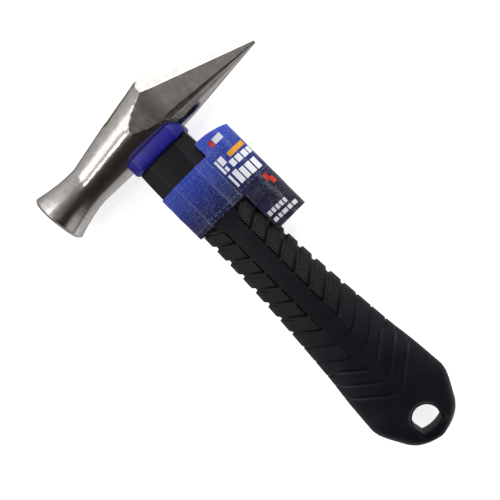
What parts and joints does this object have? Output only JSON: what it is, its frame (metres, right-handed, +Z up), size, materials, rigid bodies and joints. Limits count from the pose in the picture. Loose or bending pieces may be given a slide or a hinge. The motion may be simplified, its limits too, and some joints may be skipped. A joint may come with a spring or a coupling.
{
  "type": "rock hammer",
  "caption": "Compact rock hammer with a round striking face, a tapered faceted pick, a cored handle with rubber tread grip and an arch-shaped hang hole.",
  "frame": {"origin": "on the surface that the hammer lies on, under the middle of its bounding box", "axes": "+Y up the handle from the butt to the head, +X along the head from the striking face to the pick's tip, +Z up, across the hammer's thickness"},
  "size_m": [0.1106, 0.1896, 0.0246],
  "materials": {
    "head_steel": "ground and polished, satin with fine lines",
    "core_fibre": "cut end of a glass-fibre bar",
    "eye_resin": "cast",
    "collar_plastic": "moulded, semi-gloss",
    "jacket_plastic": "moulded, satin",
    "grip_rubber": "moulded, ribbed lugs",
    "label_film": "printed film"
  },
  "bodies": {
    "root": {"hammer_head": "head_steel", "handle_core": "core_fibre", "eye_resin": "eye_resin", "collar": "collar_plastic", "handle_jacket": "jacket_plastic", "grip_pad_face_side": "grip_rubber", "grip_pad_pick_side": "grip_rubber", "butt_grip": "grip_rubber", "label": "label_film"}
  },
  "joints": []
}
